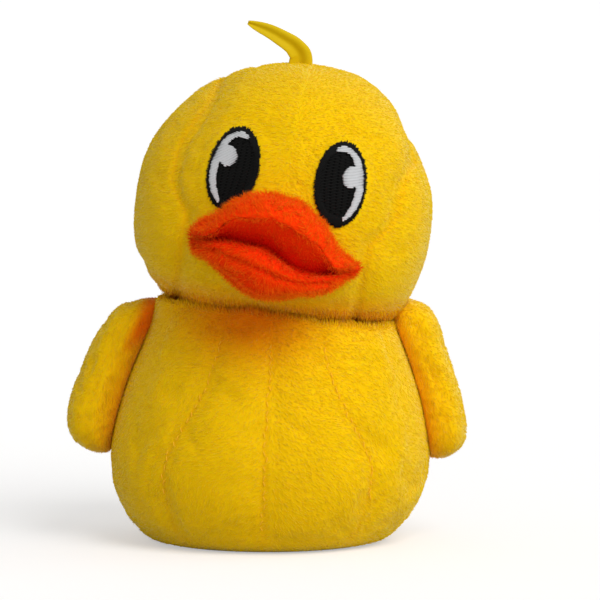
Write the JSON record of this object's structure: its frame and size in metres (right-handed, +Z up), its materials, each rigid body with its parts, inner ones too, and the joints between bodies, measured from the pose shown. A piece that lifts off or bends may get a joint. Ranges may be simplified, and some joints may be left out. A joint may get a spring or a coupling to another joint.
{
  "type": "plush duck",
  "caption": "Small stuffed plush duck that sits on a flat base, with a tilted round head, padded open bill, stitched eyes, paddle wings and a cloth tuft.",
  "frame": {"origin": "middle of the flat base the duck sits on", "axes": "+Z up, the duck faces -Y, +X to the right of the picture"},
  "size_m": [0.1147, 0.0985, 0.1496],
  "materials": {
    "yellow_plush": "short brushed pile",
    "orange_plush": "short brushed pile",
    "red_lining": "short napped cloth",
    "black_stitch": "satin stitch",
    "white_stitch": "satin stitch",
    "tuft_cloth": "folded satin"
  },
  "bodies": {
    "root": {"body": "yellow_plush", "head": "yellow_plush", "left_wing": "yellow_plush", "right_wing": "yellow_plush", "upper_bill": "orange_plush", "lower_bill": "orange_plush", "mouth_lining": "red_lining", "tuft": "tuft_cloth", "left_eye": "black_stitch", "right_eye": "black_stitch", "left_eye_highlight": "white_stitch", "right_eye_highlight": "white_stitch"}
  },
  "joints": []
}
